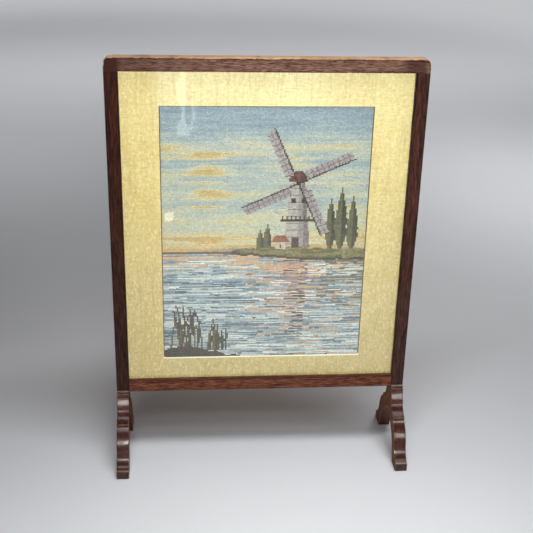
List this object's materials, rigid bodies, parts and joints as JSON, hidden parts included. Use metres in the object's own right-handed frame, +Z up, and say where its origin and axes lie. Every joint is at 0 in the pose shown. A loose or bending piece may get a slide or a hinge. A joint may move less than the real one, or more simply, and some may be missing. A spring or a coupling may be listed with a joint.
{
  "type": "fire screen",
  "caption": "Free-standing oak fire screen: a glazed needlework panel in a gold window mount, framed and carried on two sawn bracket feet.",
  "frame": {"origin": "on the floor, under the middle of the frame's width and depth", "axes": "+Z up along the frame's height, +X to the viewer's right across the front, -Y out of the glazed front"},
  "size_m": [0.5, 0.18, 0.698],
  "materials": {
    "oak": "dark stained and waxed, worn to pale wood on the arrises",
    "dowel": "plain beech",
    "steel": "plain steel wood screws",
    "brass": "dull aged brass",
    "glass": "thin picture glass, faintly wavy",
    "gold_mount": "mottled straw-gold paper on card",
    "needlework": "wool stitches on canvas",
    "lacing_board": "plain grey-brown card",
    "back_board": "thin stained plywood"
  },
  "bodies": {
    "screen": {"left_foot": "oak", "right_foot": "oak", "left_stile": "oak", "right_stile": "oak", "bottom_rail": "oak", "top_rail": "oak", "top_rail_dowels": "dowel", "bottom_rail_dowels": "dowel", "foot_screws": "steel", "glass_pane": "glass", "window_mount": "gold_mount", "needlework": "needlework", "lacing_board": "lacing_board", "back_board": "back_board", "button_screws": "brass"},
    "left_lower_button": {"left_lower_button": "brass"},
    "left_upper_button": {"left_upper_button": "brass"},
    "right_lower_button": {"right_lower_button": "brass"},
    "right_upper_button": {"right_upper_button": "brass"},
    "top_button": {"top_button": "brass"},
    "bottom_button": {"bottom_button": "brass"}
  },
  "joints": [
    {"name": "left_lower_button_turn", "type": "hinge", "parent": "screen", "child": "left_lower_button", "pos_m": [-0.24325, 0.0121, 0.2665], "axis": [0, 1, 0], "continuous": true},
    {"name": "left_upper_button_turn", "type": "hinge", "parent": "screen", "child": "left_upper_button", "pos_m": [-0.24325, 0.0121, 0.5565], "axis": [0, 1, 0], "continuous": true},
    {"name": "right_lower_button_turn", "type": "hinge", "parent": "screen", "child": "right_lower_button", "pos_m": [0.24325, 0.0121, 0.2665], "axis": [0, 1, 0], "continuous": true},
    {"name": "right_upper_button_turn", "type": "hinge", "parent": "screen", "child": "right_upper_button", "pos_m": [0.24325, 0.0121, 0.5565], "axis": [0, 1, 0], "continuous": true},
    {"name": "top_button_turn", "type": "hinge", "parent": "screen", "child": "top_button", "pos_m": [0, 0.0121, 0.69125], "axis": [0, 1, 0], "continuous": true},
    {"name": "bottom_button_turn", "type": "hinge", "parent": "screen", "child": "bottom_button", "pos_m": [0, 0.0121, 0.13175], "axis": [0, 1, 0], "continuous": true}
  ]
}
